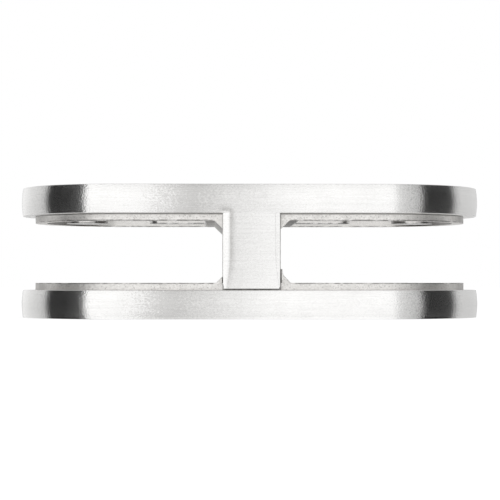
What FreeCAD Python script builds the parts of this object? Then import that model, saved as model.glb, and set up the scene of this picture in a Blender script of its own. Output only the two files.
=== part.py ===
import FreeCAD, Part
import math
import os
import Sketcher
from FreeCAD import Vector

# Double glass clamp, 180 degrees: two round-ended jaws grip a pane on either side of a central web.
# The upper jaw and the web are one casting. The lower jaw is a cover, drawn up against the foot of
# the web by two countersunk screws. X runs along the clamp, Y across it and Z up. The origin is the
# middle of the cover's outer face, on which the clamp lies.

# Driving dimensions in millimetres.
SIZES = {
    # Outline of both jaws
    "clamp_length": 100.0,
    "clamp_width": 45.0,
    "jaw_thickness": 6.0,
    "jaw_gap": 16.0,
    "side_crown": 0.25,
    "edge_break": 0.35,
    # Central web
    "web_thickness": 12.0,
    "web_bevel_width": 1.6,
    "web_bevel_depth": 0.25,
    "foot_chamfer": 0.4,
    "foot_clearance": 0.15,
    # Raised cast bed that carries the gasket
    "bed_inset": 3.0,
    "bed_height": 1.5,
    "gusset_size": 1.8,
    "lip_height": 1.5,
    "lip_top": 0.4,
    # Hollows in the bed
    "rim_width": 2.5,
    "land_width": 2.0,
    "hollow_depth": 2.5,
    "hollow_corner": 1.5,
    "rib_width": 5.0,
    "rib_reach": 22.0,
    "boss_diameter": 9.0,
    "boss_distance": 35.8,
    # Countersunk screws with a hexagon socket
    "screw_edge_distance": 11.5,
    "screw_diameter": 6.0,
    "screw_length": 20.0,
    "screw_tip": 0.7,
    "head_diameter": 12.0,
    "head_rim": 0.2,
    "head_recess": 0.2,
    "socket_size": 4.0,
    "socket_depth": 2.3,
    # Holes for the screws
    "passage_diameter": 6.6,
    "seat_clearance": 0.05,
    "thread_clearance": 0.05,
    "tapped_depth": 16.0,
}
COUNTERSINK_ANGLE = 90.0
DRILL_ANGLE = 118.0
FULL_TURN = 360.0
# Two faces or edges closer than this lie at the same place.
SAME_PLACE = 1e-4

# Places and sizes that follow from the driving dimensions, as expressions on the sheet.
COVER_FACE = "dims.jaw_thickness"
BODY_FACE = "(dims.jaw_thickness + dims.jaw_gap)"
END_CENTRE = "(dims.clamp_length / 2 - dims.clamp_width / 2)"
# The jaw's side is an arc between its broken edges: half its chord, and the crown as its height.
HALF_CROWN = "(dims.jaw_thickness / 2 - dims.edge_break)"
CROWN_RADIUS = f"({HALF_CROWN} ^ 2 + dims.side_crown ^ 2) / (2 * dims.side_crown)"
CROWN_CENTRE = f"(dims.clamp_width / 2 - {CROWN_RADIUS})"
HALF_SIDE = "(dims.clamp_width / 2 - dims.side_crown)"
HALF_FACE = f"({HALF_SIDE} - dims.edge_break)"
HALF_WEB = "(dims.web_thickness / 2)"
HALF_BED = "(dims.clamp_width / 2 - dims.bed_inset)"
HALF_HOLLOW = f"({HALF_BED} - dims.rim_width)"
HALF_FOOT_SEAT = f"({HALF_WEB} + dims.foot_clearance)"
LAND_START = f"({HALF_WEB} + dims.gusset_size)"
HOLLOW_START = f"({LAND_START} + dims.land_width)"
HOLLOW_CORNER = f"({HOLLOW_START} + dims.hollow_corner)"
RIB_CENTRE = "(dims.rib_reach - dims.rib_width / 2)"
SCREW_OFFSET = "(dims.clamp_width / 2 - dims.screw_edge_distance)"
# The countersink runs parallel to the cone of the head, clear of it by the seat's clearance.
SINK_RADIUS = "(dims.head_diameter / 2 + dims.head_recess + dims.head_rim + sqrt(2) * dims.seat_clearance)"

doc = FreeCAD.newDocument("glass_clamp")
sheet = doc.addObject("Spreadsheet::Sheet", "dims")
for row, (alias, size) in enumerate(SIZES.items(), start=1):
    sheet.set(f"A{row}", alias)
    sheet.set(f"B{row}", str(size))
    sheet.setAlias(f"B{row}", alias)
doc.recompute()


def number(expression):
    """Value of an expression on the sheet, in millimetres."""
    return float(sheet.evalExpression(str(expression)))


def plane(body, role):
    """Origin plane of a body."""
    return next(feature for feature in body.Origin.OriginFeatures if feature.Role == role)


def new_body(label):
    """Empty body for one piece of the clamp."""
    body = doc.addObject("PartDesign::Body", label)
    body.Label = label
    return body


def new_sketch(body, role, name, lift="0", shift="0"):
    """Sketch on an origin plane, lifted along the plane's normal and shifted along its first axis."""
    sketch = body.newObject("Sketcher::SketchObject", name)
    sketch.AttachmentSupport = [(plane(body, role), "")]
    sketch.MapMode = "FlatFace"
    sketch.setExpression("AttachmentOffset.Base.z", lift)
    sketch.setExpression("AttachmentOffset.Base.x", shift)
    return sketch


def bind(sketch, kind, *elements, expression):
    """Constraint whose value follows an expression on the sheet."""
    index = sketch.addConstraint(Sketcher.Constraint(kind, *elements, number(expression)))
    sketch.setExpression(f"Constraints[{index}]", expression)


def pin(sketch, geometry, point, x, y):
    """Hold a point of a sketch at two coordinates."""
    bind(sketch, "DistanceX", -1, 1, geometry, point, expression=x)
    bind(sketch, "DistanceY", -1, 1, geometry, point, expression=y)


def side_curve(start, end, middle):
    """Straight side of an outline, or an anticlockwise arc about the middle that is given."""
    if middle is None:
        return Part.LineSegment(start, end)
    centre = Vector(number(middle[0]), number(middle[1]), 0)
    first = math.atan2(start.y - centre.y, start.x - centre.x)
    last = math.atan2(end.y - centre.y, end.x - centre.x)
    if last <= first:
        last += 2 * math.pi
    circle = Part.Circle(centre, Vector(0, 0, 1), start.distanceToPoint(centre))
    return Part.ArcOfCircle(circle, first, last)


def outline(sketch, corners, arcs=None):
    """Closed outline through corners; arcs gives the middle of each side that is an arc."""
    arcs = arcs or {}
    points = [Vector(number(x), number(y), 0) for x, y in corners]
    sides = []
    for index, start in enumerate(points):
        end = points[(index + 1) % len(points)]
        sides.append(sketch.addGeometry(side_curve(start, end, arcs.get(index)), False))
    for index, side in enumerate(sides):
        following = sides[(index + 1) % len(sides)]
        sketch.addConstraint(Sketcher.Constraint("Coincident", side, 2, following, 1))
    for index, side in enumerate(sides):
        pin(sketch, side, 1, *corners[index])
        if index in arcs:
            # Both ends are held, so one coordinate settles the middle.
            bind(sketch, "DistanceX", -1, 1, side, 3, expression=arcs[index][0])


def rectangle(sketch, x_low, x_high, y_low, y_high):
    """Rectangle between two values of each coordinate."""
    outline(sketch, [(x_low, y_low), (x_high, y_low), (x_high, y_high), (x_low, y_high)])


def circle(sketch, x, y, diameter):
    """Circle at a pinned centre."""
    shape = Part.Circle(Vector(number(x), number(y), 0), Vector(0, 0, 1), number(diameter) / 2)
    geometry = sketch.addGeometry(shape, False)
    pin(sketch, geometry, 3, x, y)
    bind(sketch, "Diameter", geometry, expression=diameter)


def finish_feature(body, feature, grows):
    """Make a feature the tip of its body, and make sure that it added or removed material."""
    body.Tip = feature
    doc.recompute()
    before = feature.BaseFeature.Shape.Volume if feature.BaseFeature else 0.0
    change = body.Shape.Volume - before
    if (change > 0) != grows or change == 0:
        raise RuntimeError(f"{feature.Label} changed the volume of {body.Label} by {change:.3f}")
    return feature


def extrude(body, kind, name, sketch, length, reverse=False, both_ways=False):
    """Pad or Pocket of a sketch."""
    feature = body.newObject(f"PartDesign::{kind}", name)
    feature.Profile = sketch
    feature.Reversed = reverse
    feature.SideType = "Symmetric" if both_ways else "One side"
    feature.setExpression("Length", length)
    return finish_feature(body, feature, grows=kind == "Pad")


def revolve(body, name, sketch):
    """Full turn of a sketch about its own vertical axis."""
    feature = body.newObject("PartDesign::Revolution", name)
    feature.Profile = sketch
    feature.ReferenceAxis = (sketch, ["V_Axis"])
    feature.Angle = FULL_TURN
    return finish_feature(body, feature, grows=True)


def mirror_along(body, name, originals):
    """The same features on the other arm of the clamp."""
    feature = body.newObject("PartDesign::Mirrored", name)
    feature.Originals = originals
    feature.MirrorPlane = (plane(body, "YZ_Plane"), [""])
    return finish_feature(body, feature, grows=True)


def dress(body, kind, name, size, chosen):
    """Fillet or Chamfer on the edges that a test chooses."""
    base = body.Tip
    names = [f"Edge{i}" for i, edge in enumerate(base.Shape.Edges, start=1) if chosen(edge)]
    feature = body.newObject(f"PartDesign::{kind}", name)
    feature.Base = (base, names)
    feature.setExpression("Radius" if kind == "Fillet" else "Size", size)
    return finish_feature(body, feature, grows=False)


def jaw_side(low, high):
    """Corners of a jaw's side, upwards, and the middle of its crown."""
    corners = [
        (HALF_FACE, low),
        (HALF_SIDE, f"{low} + dims.edge_break"),
        (HALF_SIDE, f"{high} - dims.edge_break"),
        (HALF_FACE, high),
    ]
    return corners, (CROWN_CENTRE, f"({low} + {high}) / 2")


def add_jaw(body, low):
    """Round-ended jaw with crowned sides and broken edges, from a height upwards."""
    high = f"({low} + dims.jaw_thickness)"
    corners, (crown_x, crown_z) = jaw_side(low, high)
    other_corners = [(f"-{x}", z) for x, z in reversed(corners)]
    # The crown is the side that starts at the second corner, and at the same place across the jaw.
    arcs = {1: (crown_x, crown_z), 1 + len(corners): (f"-{crown_x}", crown_z)}
    section = new_sketch(body, "YZ_Plane", f"{body.Name}_section")
    outline(section, corners + other_corners, arcs)
    extrude(body, "Pad", f"{body.Name}_middle", section, f"2 * {END_CENTRE}", both_ways=True)
    end_section = new_sketch(body, "XZ_Plane", f"{body.Name}_end_section", shift=END_CENTRE)
    outline(end_section, corners + [("0", high), ("0", low)], {1: arcs[1]})
    end = revolve(body, f"{body.Name}_round_end", end_section)
    mirror_along(body, f"{body.Name}_other_end", [end])


def add_bed(body, face, downward):
    """Raised bed on the glass side of a jaw, set in from its edge all round."""
    sketch = new_sketch(body, "XY_Plane", f"{body.Name}_bed_outline", lift=face)
    corners = [
        (f"-{END_CENTRE}", f"-{HALF_BED}"),
        (END_CENTRE, f"-{HALF_BED}"),
        (END_CENTRE, HALF_BED),
        (f"-{END_CENTRE}", HALF_BED),
    ]
    outline(sketch, corners, arcs={1: (END_CENTRE, "0"), 3: (f"-{END_CENTRE}", "0")})
    extrude(body, "Pad", f"{body.Name}_bed", sketch, "dims.bed_height", reverse=downward)


def add_hollows(body, bed_level, downward):
    """Cored hollow in each arm of the bed, with a rib from the land and a round boss further out."""
    hollow = new_sketch(body, "XY_Plane", f"{body.Name}_hollow_outline", lift=bed_level)
    for side in (1, -1):
        inner_y = f"({HALF_HOLLOW} - dims.hollow_corner)"
        corners = [
            (f"{side} * {HOLLOW_CORNER}", f"{-side} * {HALF_HOLLOW}"),
            (f"{side} * {END_CENTRE}", f"{-side} * {HALF_HOLLOW}"),
            (f"{side} * {END_CENTRE}", f"{side} * {HALF_HOLLOW}"),
            (f"{side} * {HOLLOW_CORNER}", f"{side} * {HALF_HOLLOW}"),
            (f"{side} * {HOLLOW_START}", f"{side} * {inner_y}"),
            (f"{side} * {HOLLOW_START}", f"{-side} * {inner_y}"),
        ]
        arcs = {
            1: (f"{side} * {END_CENTRE}", "0"),
            3: (f"{side} * {HOLLOW_CORNER}", f"{side} * {inner_y}"),
            5: (f"{side} * {HOLLOW_CORNER}", f"{-side} * {inner_y}"),
        }
        outline(hollow, corners, arcs)
    extrude(body, "Pocket", f"{body.Name}_hollows", hollow, "dims.hollow_depth", reverse=downward)
    rib = new_sketch(body, "XY_Plane", f"{body.Name}_rib_outline", lift=bed_level)
    boss = new_sketch(body, "XY_Plane", f"{body.Name}_boss_outline", lift=bed_level)
    for side in (1, -1):
        # The rib runs out from the land beside the web to a round tip.
        edge = "dims.rib_width / 2"
        corners = [
            (f"{side} * {HOLLOW_START}", f"{-side} * {edge}"),
            (f"{side} * {RIB_CENTRE}", f"{-side} * {edge}"),
            (f"{side} * {RIB_CENTRE}", f"{side} * {edge}"),
            (f"{side} * {HOLLOW_START}", f"{side} * {edge}"),
        ]
        outline(rib, corners, {1: (f"{side} * {RIB_CENTRE}", "0")})
        circle(boss, f"{side} * dims.boss_distance", "0", "dims.boss_diameter")
    extrude(body, "Pad", f"{body.Name}_ribs", rib, "dims.hollow_depth", reverse=not downward)
    extrude(body, "Pad", f"{body.Name}_bosses", boss, "dims.hollow_depth", reverse=not downward)


def screw_centres(sketch, diameter):
    """A circle at each screw."""
    for side in (1, -1):
        circle(sketch, "0", f"{side} * {SCREW_OFFSET}", diameter)


def drill(body, name, face, diameter):
    """Upward holes for both screws, from a face."""
    sketch = new_sketch(body, "XY_Plane", f"{name}_centres", lift=face)
    screw_centres(sketch, diameter)
    doc.recompute()
    feature = body.newObject("PartDesign::Hole", name)
    feature.Profile = sketch
    feature.Reversed = True
    feature.setExpression("Diameter", diameter)
    return feature


def make_jaw_body():
    """Upper jaw and web, one casting."""
    body = new_body("jaw_body")
    add_jaw(body, BODY_FACE)
    bed_level = f"({BODY_FACE} - dims.bed_height)"
    add_bed(body, BODY_FACE, downward=True)

    # Corner gussets brace the web against the bed, set in as far as the bed is.
    gussets = new_sketch(body, "XZ_Plane", "gusset_outline")
    web = new_sketch(body, "XY_Plane", "web_outline", lift=COVER_FACE)
    for side in (1, -1):
        corners = [
            (f"{side} * {HALF_WEB}", bed_level),
            (f"{side} * {LAND_START}", bed_level),
            (f"{side} * {HALF_WEB}", f"{bed_level} - dims.gusset_size"),
        ]
        outline(gussets, corners)

    # The web is flush with the edge of the jaw's sides, and its upright edges are ground off at a slant.
    bevel_x = f"({HALF_WEB} - dims.web_bevel_width)"
    bevel_y = f"({HALF_SIDE} - dims.web_bevel_depth)"
    corners = []
    for side in (1, -1):
        corners += [
            (f"{side} * {HALF_WEB}", f"{-side} * {bevel_y}"),
            (f"{side} * {HALF_WEB}", f"{side} * {bevel_y}"),
            (f"{side} * {bevel_x}", f"{side} * {HALF_SIDE}"),
            (f"{-side} * {bevel_x}", f"{side} * {HALF_SIDE}"),
        ]
    outline(web, corners)
    extrude(body, "Pad", "web", web, "dims.jaw_gap + dims.jaw_thickness / 2")
    extrude(body, "Pad", "gussets", gussets, f"2 * {HALF_BED}", both_ways=True)
    add_hollows(body, bed_level, downward=True)

    foot = number(COVER_FACE)
    half_web = number(HALF_WEB)

    def is_long_foot_edge(edge):
        middle = edge.CenterOfMass
        at_foot = abs(middle.z - foot) < SAME_PLACE
        return at_foot and abs(abs(middle.x) - half_web) < SAME_PLACE

    dress(body, "Chamfer", "foot_chamfers", "dims.foot_chamfer", is_long_foot_edge)
    holes = drill(body, "tapped_holes", COVER_FACE, "dims.screw_diameter + 2 * dims.thread_clearance")
    holes.DepthType = "Dimension"
    holes.DrillPoint = "Angled"
    holes.DrillPointAngle = DRILL_ANGLE
    holes.setExpression("Depth", "dims.tapped_depth")
    finish_feature(body, holes, grows=False)
    return body


def make_cover_plate():
    """Lower jaw, a loose cover with a seat for the foot of the web."""
    body = new_body("cover_plate")
    add_jaw(body, "0")
    bed_level = f"({COVER_FACE} + dims.bed_height)"
    add_bed(body, COVER_FACE, downward=False)

    # Sloped lips beside the seat guide the foot of the web.
    lips = new_sketch(body, "XZ_Plane", "lip_outline")
    lip_level = f"({bed_level} + dims.lip_height)"
    for side in (1, -1):
        corners = [
            (f"{side} * {HALF_FOOT_SEAT}", bed_level),
            (f"{side} * ({HALF_FOOT_SEAT} + dims.lip_top + dims.lip_height)", bed_level),
            (f"{side} * ({HALF_FOOT_SEAT} + dims.lip_top)", lip_level),
            (f"{side} * {HALF_FOOT_SEAT}", lip_level),
        ]
        outline(lips, corners)
    extrude(body, "Pad", "lips", lips, f"2 * {HALF_BED}", both_ways=True)
    add_hollows(body, bed_level, downward=False)

    seat = new_sketch(body, "XY_Plane", "foot_seat_outline", lift=bed_level)
    rectangle(seat, f"-{HALF_FOOT_SEAT}", HALF_FOOT_SEAT, f"-{HALF_BED}", HALF_BED)
    extrude(body, "Pocket", "foot_seat", seat, "dims.bed_height")

    holes = drill(body, "screw_passages", "0", "dims.passage_diameter")
    holes.DepthType = "ThroughAll"
    holes.HoleCutType = "Countersink"
    holes.HoleCutCustomValues = True
    holes.HoleCutCountersinkAngle = COUNTERSINK_ANGLE
    holes.setExpression("HoleCutDiameter", f"2 * {SINK_RADIUS}")
    finish_feature(body, holes, grows=False)
    return body


def make_screw(label, side):
    """Countersunk screw with a hexagon socket, its head in the cover and its thread in the web."""
    body = new_body(label)
    profile = new_sketch(body, "XZ_Plane", f"{label}_profile")
    radius = "dims.screw_diameter / 2"
    corners = [
        ("0", "0"),
        ("dims.head_diameter / 2", "0"),
        ("dims.head_diameter / 2", "dims.head_rim"),
        (radius, f"dims.head_rim + dims.head_diameter / 2 - {radius}"),
        (radius, "dims.screw_length - dims.screw_tip"),
        (f"{radius} - dims.screw_tip", "dims.screw_length"),
        ("0", "dims.screw_length"),
    ]
    outline(profile, corners)
    revolve(body, f"{label}_turned", profile)
    socket = new_sketch(body, "XY_Plane", f"{label}_hexagon")
    flat = "dims.socket_size / 2"
    point = "dims.socket_size / sqrt(3)"
    hexagon = []
    for half in (1, -1):
        hexagon += [
            (f"{half} * {point}", "0"),
            (f"{half} * {point} / 2", f"{half} * {flat}"),
            (f"{-half} * {point} / 2", f"{half} * {flat}"),
        ]
    outline(socket, hexagon)
    extrude(body, "Pocket", f"{label}_socket", socket, "dims.socket_depth", reverse=True)
    body.setExpression("Placement.Base.y", f"{side} * {SCREW_OFFSET}")
    body.setExpression("Placement.Base.z", "dims.head_recess")
    return body


pieces = [
    make_jaw_body(),
    make_cover_plate(),
    make_screw("screw_front", -1),
    make_screw("screw_rear", 1),
]
doc.recompute()

for item in doc.Objects:
    if "Invalid" in item.State or "Error" in item.State:
        raise RuntimeError(f"{item.Label} failed: {item.State}")
for piece in pieces:
    if piece.Shape.isNull() or not piece.Shape.isValid() or len(piece.Shape.Solids) != 1:
        raise RuntimeError(f"{piece.Label} is not one valid solid")

os.makedirs("parts", exist_ok=True)
for piece in pieces:
    piece.Shape.exportStep(f"parts/{piece.Label}.step")
    box = piece.Shape.BoundBox
    print(f"{piece.Label}: {piece.Shape.Volume / 1000:.2f} cm3, "
          f"x {box.XMin:.2f} to {box.XMax:.2f}, y {box.YMin:.2f} to {box.YMax:.2f}, "
          f"z {box.ZMin:.2f} to {box.ZMax:.2f}")
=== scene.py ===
import contextlib
import functools
import inspect
import math

import bmesh
import bpy
from bmesh.types import BMEdge, BMVert
from bpy.props import FloatProperty, FloatVectorProperty, PointerProperty
from mathutils import Matrix, Vector, noise


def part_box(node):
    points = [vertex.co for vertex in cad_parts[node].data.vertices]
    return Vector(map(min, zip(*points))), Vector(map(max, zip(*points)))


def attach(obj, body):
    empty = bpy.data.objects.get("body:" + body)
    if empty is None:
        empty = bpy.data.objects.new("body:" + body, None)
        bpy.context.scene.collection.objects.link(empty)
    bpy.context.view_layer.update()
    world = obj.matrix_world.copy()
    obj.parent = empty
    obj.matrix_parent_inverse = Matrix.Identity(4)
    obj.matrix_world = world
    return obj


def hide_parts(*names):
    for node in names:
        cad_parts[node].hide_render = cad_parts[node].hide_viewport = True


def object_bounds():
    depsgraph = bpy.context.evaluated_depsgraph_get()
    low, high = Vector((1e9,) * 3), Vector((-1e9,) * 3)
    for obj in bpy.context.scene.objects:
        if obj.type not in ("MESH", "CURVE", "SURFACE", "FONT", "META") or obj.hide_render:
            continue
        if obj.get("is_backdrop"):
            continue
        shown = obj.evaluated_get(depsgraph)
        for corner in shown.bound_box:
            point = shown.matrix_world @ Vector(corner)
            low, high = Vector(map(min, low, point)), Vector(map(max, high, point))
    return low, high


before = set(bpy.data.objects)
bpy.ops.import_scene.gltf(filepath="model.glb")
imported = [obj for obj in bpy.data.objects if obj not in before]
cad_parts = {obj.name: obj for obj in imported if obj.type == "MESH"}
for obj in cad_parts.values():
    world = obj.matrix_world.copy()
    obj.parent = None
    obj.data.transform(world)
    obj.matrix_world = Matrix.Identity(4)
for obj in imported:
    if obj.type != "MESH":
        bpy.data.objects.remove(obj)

bl_info = {
    "name": "Glass clamp",
    "version": (1, 0, 0),
    "blender": (4, 5, 0),
    "location": "View3D > Sidebar > Glass clamp",
    "description": "Brushed and cast skins, screws and studio for a double glass clamp",
    "category": "Object",
}

MM = 0.001
CAD_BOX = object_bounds()
COVER_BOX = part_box("cover_plate")
SCREW_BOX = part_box("screw_front")
NODES = {"jaw": "jaw_body", "cover": "cover_plate"}

# Steps of a half turn round the end of a jaw, of a rounded edge, and of the crown of a side.
END_STEPS = 96
EDGE_STEPS = 5
CROWN_STEPS = 10
# Segments of a countersink, of the round ends of a hollow's floor and of other round shapes.
SINK_SEGMENTS = 96
FLOOR_SEGMENTS = 128
ROUND_SEGMENTS = 64
# Steps of one turn of the thread, and cuts across the web that let its facet swell.
THREAD_STEPS = 36
WEB_CUTS = 16
# Points closer than this are one.
SAME_PLACE = 2e-6
# A face lies flat where its normal is at least this upright.
FLAT = 0.8
# How far blocks and cutters run into each other, and how far a skin goes in behind its neighbour.
OVERLAP = 1.0 * MM
TUCK = 0.6 * MM
# Length of a passage through the cover.
PASSAGE_LENGTH = 8.0 * MM
# Share of the web's ground facet that is left at its foot, and share of its depth on the right.
FOOT_FACET = 0.12
RIGHT_FACET = 0.12
# Edges sharper than these stay sharp, on the castings and on the other pieces.
CAST_ANGLE = math.radians(50.0)
SHARP_ANGLE = math.radians(35.0)
# Ranges of a mask that rises and of one that falls.
RISE = (0.0, 1.0)
FALL = (1.0, 0.0)
WHITE = (1.0, 1.0, 1.0)
ORIGIN = (0.0, 0.0, 0.0)


def length(label, description, default):
    """Length of the clamp that a user may change."""
    return FloatProperty(
        name=label, description=description, default=default, min=0.0, precision=5, subtype="DISTANCE",
        unit="LENGTH",
    )


def colour(label, description, default):
    """Colour of a finish that a user may change."""
    return FloatVectorProperty(
        name=label, description=description, default=default, min=0.0, max=1.0, size=3, subtype="COLOR"
    )


def spot(label, description, default):
    """Place in the studio that a user may change."""
    return FloatVectorProperty(
        name=label, description=description, default=default, size=3, subtype="TRANSLATION"
    )


class ClampSizes(bpy.types.PropertyGroup):
    """Sizes of the jaws, the web and the screws."""

    clamp_length: length("Length", "Length over both round ends", COVER_BOX[1].x - COVER_BOX[0].x)
    clamp_width: length("Width", "Width across the crowned sides", COVER_BOX[1].y - COVER_BOX[0].y)
    clamp_height: length("Height", "Height over both jaws", CAD_BOX[1].z - CAD_BOX[0].z)
    jaw_thickness: length("Jaw thickness", "Thickness of a jaw without its bed", 6.0 * MM)
    side_crown: length("Side crown", "How far the sides bulge", 0.25 * MM)
    edge_radius: length("Edge radius", "Rounding of the edges of a jaw", 0.1 * MM)
    web_thickness: length("Web thickness", "Thickness of the web between the panes", 12.0 * MM)
    web_bevel_width: length("Web bevel width", "Width of the ground edge of the web", 0.98 * MM)
    web_bevel_depth: length("Web bevel depth", "Depth of the ground edge of the web", 0.25 * MM)
    foot_chamfer: length("Foot chamfer", "Chamfer on the foot of the web", 0.4 * MM)
    front_setback: length("Front setback", "Step from the web's core to its brushed front", 0.25 * MM)
    foot_gap: length("Foot gap", "Open seam under the brushed edge of the foot", 0.34 * MM)
    foot_clearance: length("Foot clearance", "Room between the foot and the lips of the cover", 0.15 * MM)
    bed_inset: length("Bed inset", "Distance of the cast bed from the side", 3.0 * MM)
    bed_height: length("Bed height", "Height of the cast bed over its ledge", 1.5 * MM)
    gusset_size: length("Gusset size", "Legs of the gussets in the corners of the web", 1.8 * MM)
    lip_height: length("Lip height", "Height of the cover's lips over its bed", COVER_BOX[1].z - 7.5 * MM)
    rim_width: length("Rim width", "Width of the rim round a hollow", 2.5 * MM)
    land_width: length("Land width", "Width of the land beside the web", 2.0 * MM)
    hollow_depth: length("Hollow depth", "Depth of the hollows in the bed", 2.5 * MM)
    rib_width: length("Rib width", "Width of the rib in a hollow", 5.0 * MM)
    rib_reach: length("Rib reach", "Distance of the round tip of a rib from the middle", 22.0 * MM)
    boss_diameter: length("Boss diameter", "Diameter of the boss in a hollow", 9.0 * MM)
    boss_distance: length("Boss distance", "Distance of a boss from the middle", 35.8 * MM)
    screw_diameter: length("Screw diameter", "Diameter over the thread", 5.9 * MM)
    thread_root: length("Thread root", "Diameter at the root of the thread", 4.8 * MM)
    thread_pitch: length("Thread pitch", "Rise of the thread in one turn", 1.0 * MM)
    head_diameter: length("Head diameter", "Diameter of a screw head", SCREW_BOX[1].x - SCREW_BOX[0].x)
    head_rim: length("Head rim", "Height of the straight rim of a head", 0.2 * MM)
    socket_size: length("Socket size", "Distance over the flats of the socket", 4.0 * MM)
    socket_depth: length("Socket depth", "Depth of the hexagon socket", 2.3 * MM)
    passage_diameter: length("Passage diameter", "Diameter of the screw passages in the cover", 6.6 * MM)
    tapped_diameter: length("Tapped diameter", "Diameter of the tapped holes in the web", 6.1 * MM)
    tapped_depth: length("Tapped depth", "Depth of the tapped holes", 16.0 * MM)
    seat_clearance: length("Seat clearance", "Room between a screw head and its seat", 0.07 * MM)
    draft: FloatProperty(
        name="Draft", description="Lean of the walls in a hollow", default=math.radians(7.0), subtype="ANGLE"
    )
    cast_roughness: length("Cast unevenness", "Height of the unevenness of the cast skin", 0.06 * MM)


class ClampFinish(bpy.types.PropertyGroup):
    """Colours of the clamp's finishes."""

    brushed_light: colour("Brushed light", "Brushed steel where the grain is open", (0.87, 0.866, 0.857))
    # The dark end of the brushed steel shows in its close grain and in the painted dark reflection beside the
    # web.
    brushed_dark: colour("Brushed dark", "Brushed steel where the grain is close", (0.44, 0.434, 0.425))
    cast_light: colour("Cast light", "Peaks of the cast skin", (0.99, 0.972, 0.945))
    cast_dark: colour("Cast dark", "Pits of the cast skin", (0.84, 0.824, 0.80))
    # Dark colour of the pinholes, also used for the painted shade and painted dark reflection on the cast
    # skin.
    chip: colour("Pits and shade", "Dark chips along the edges of the cast skin", (0.12, 0.115, 0.11))
    screw_light: colour("Screw light", "Bright places of a screw", (0.66, 0.655, 0.645))
    screw_dark: colour("Screw dark", "Dull places of a screw", (0.5, 0.495, 0.485))


class StudioSettings(bpy.types.PropertyGroup):
    """Floor, light and camera."""

    eye: spot("Eye", "Place of the camera", (-0.00745, -0.3475, 0.0075))
    target: spot("Target", "Middle of the picture", (-0.00045, -0.0225, 0.0143))
    lens: FloatProperty(name="Lens", description="Focal length", default=113.5, min=1.0, unit="CAMERA")
    lamp_place: spot("Lamp place", "Place of the lamp overhead", (0.1, -0.25, 0.9))
    lamp_target: spot("Lamp target", "Place that the lamp is turned to", (0.0, 0.0, 0.014))
    lamp_size: length("Lamp size", "Side of the square lamp", 0.8)
    lamp_power: FloatProperty(name="Lamp power", description="Power of the lamp", default=6.0, unit="POWER")
    floor_width: length("Floor width", "Width of the floor", 4.0)
    floor_colour: colour("Floor colour", "Pale floor", (0.9, 0.9, 0.9))
    floor_shadow: FloatProperty(
        name="Floor shadow", description="Share of the floor's brightness that shadows can take", default=0.2,
        min=0.0, max=1.0, subtype="FACTOR",
    )


def sizes():
    """Current sizes of the clamp."""
    return bpy.context.scene.clamp_sizes


def half_width():
    """Half the width between the edges of the crowned sides."""
    return sizes().clamp_width / 2 - sizes().side_crown


def end_centre():
    """Distance of a round end's centre from the middle."""
    return sizes().clamp_length / 2 - sizes().clamp_width / 2


def half_bed():
    """Half the width of a cast bed."""
    return sizes().clamp_width / 2 - sizes().bed_inset


def half_hollow():
    """Half the width of the hollow in a bed."""
    return half_bed() - sizes().rim_width


def hollow_start():
    """Distance of a hollow from the middle."""
    return sizes().web_thickness / 2 + sizes().gusset_size + sizes().land_width


def screw_places():
    """Middle of each screw, front and rear, at the lower end of its head."""
    middle = (SCREW_BOX[0] + SCREW_BOX[1]) / 2
    front = Vector((middle.x, middle.y, SCREW_BOX[0].z))
    return {"front": front, "rear": Vector((front.x, -front.y, front.z))}


class JawSide:
    """Heights of one jaw, counted from its glass face outwards."""

    def __init__(self, face, outward):
        self.face = face
        self.outward = outward

    def level(self, height):
        """World height of a level above the glass face, towards the outside."""
        return self.face + self.outward * height

    def levels(self, low, high):
        """World heights of two levels, the lower one first."""
        return sorted((self.level(low), self.level(high)))


def jaw_sides():
    """Upper jaw and cover."""
    cover = JawSide(sizes().jaw_thickness, -1)
    upper = JawSide(sizes().clamp_height - sizes().jaw_thickness, 1)
    return {"jaw": upper, "cover": cover}


def only(kinds, items):
    """Items of some kinds from the result of a mesh operation."""
    return [item for item in items if isinstance(item, kinds)]


def add_arc(bm, vert, centre, angle, steps):
    """Carry the last point of a section round a centre, and give the arc's end."""
    turned = bmesh.ops.spin(
        bm, geom=[vert], cent=centre, axis=(1, 0, 0), dvec=(0, 0, 0), angle=angle, steps=steps
    )
    return only(BMVert, turned["geom_last"])[0]


def add_line(bm, vert, place):
    """Straight line of a section from its last point, and the line's end."""
    end = bm.verts.new(place)
    bm.edges.new((vert, end))
    return end


def sweep_round(bm):
    """Carry the wire section in a bmesh once round the clamp, along both sides and both round ends."""
    section = list(bm.verts) + list(bm.edges)
    for side in (1, -1):
        turned = bmesh.ops.spin(
            bm, geom=section, cent=(side * end_centre(), 0, 0), axis=(0, 0, 1), dvec=(0, 0, 0), angle=math.pi,
            steps=END_STEPS,
        )
        drawn = bmesh.ops.extrude_edge_only(bm, edges=only(BMEdge, turned["geom_last"]))
        section = only((BMVert, BMEdge), drawn["geom"])
        bmesh.ops.translate(bm, verts=only(BMVert, section), vec=(-side * 2 * end_centre(), 0, 0))
    bmesh.ops.remove_doubles(bm, verts=bm.verts, dist=SAME_PLACE)


def turn_profile(bm, profile, angle, steps, rise=0.0):
    """Turn a profile of radii and heights round the upright axis, with a rise for each step."""
    verts = [bm.verts.new((radius, 0, height)) for radius, height in profile]
    edges = [bm.edges.new(pair) for pair in zip(verts, verts[1:])]
    bmesh.ops.spin(
        bm, geom=verts + edges, cent=(0, 0, 0), axis=(0, 0, 1), dvec=(0, 0, rise), angle=angle, steps=steps,
        use_merge=rise == 0.0,
    )
    bmesh.ops.remove_doubles(bm, verts=bm.verts, dist=SAME_PLACE)


def draw_out(bm, faces, vec):
    """Draw faces out into a solid."""
    drawn = bmesh.ops.extrude_face_region(bm, geom=faces, use_keep_orig=True)
    bmesh.ops.translate(bm, verts=only(BMVert, drawn["geom"]), vec=vec)


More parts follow.
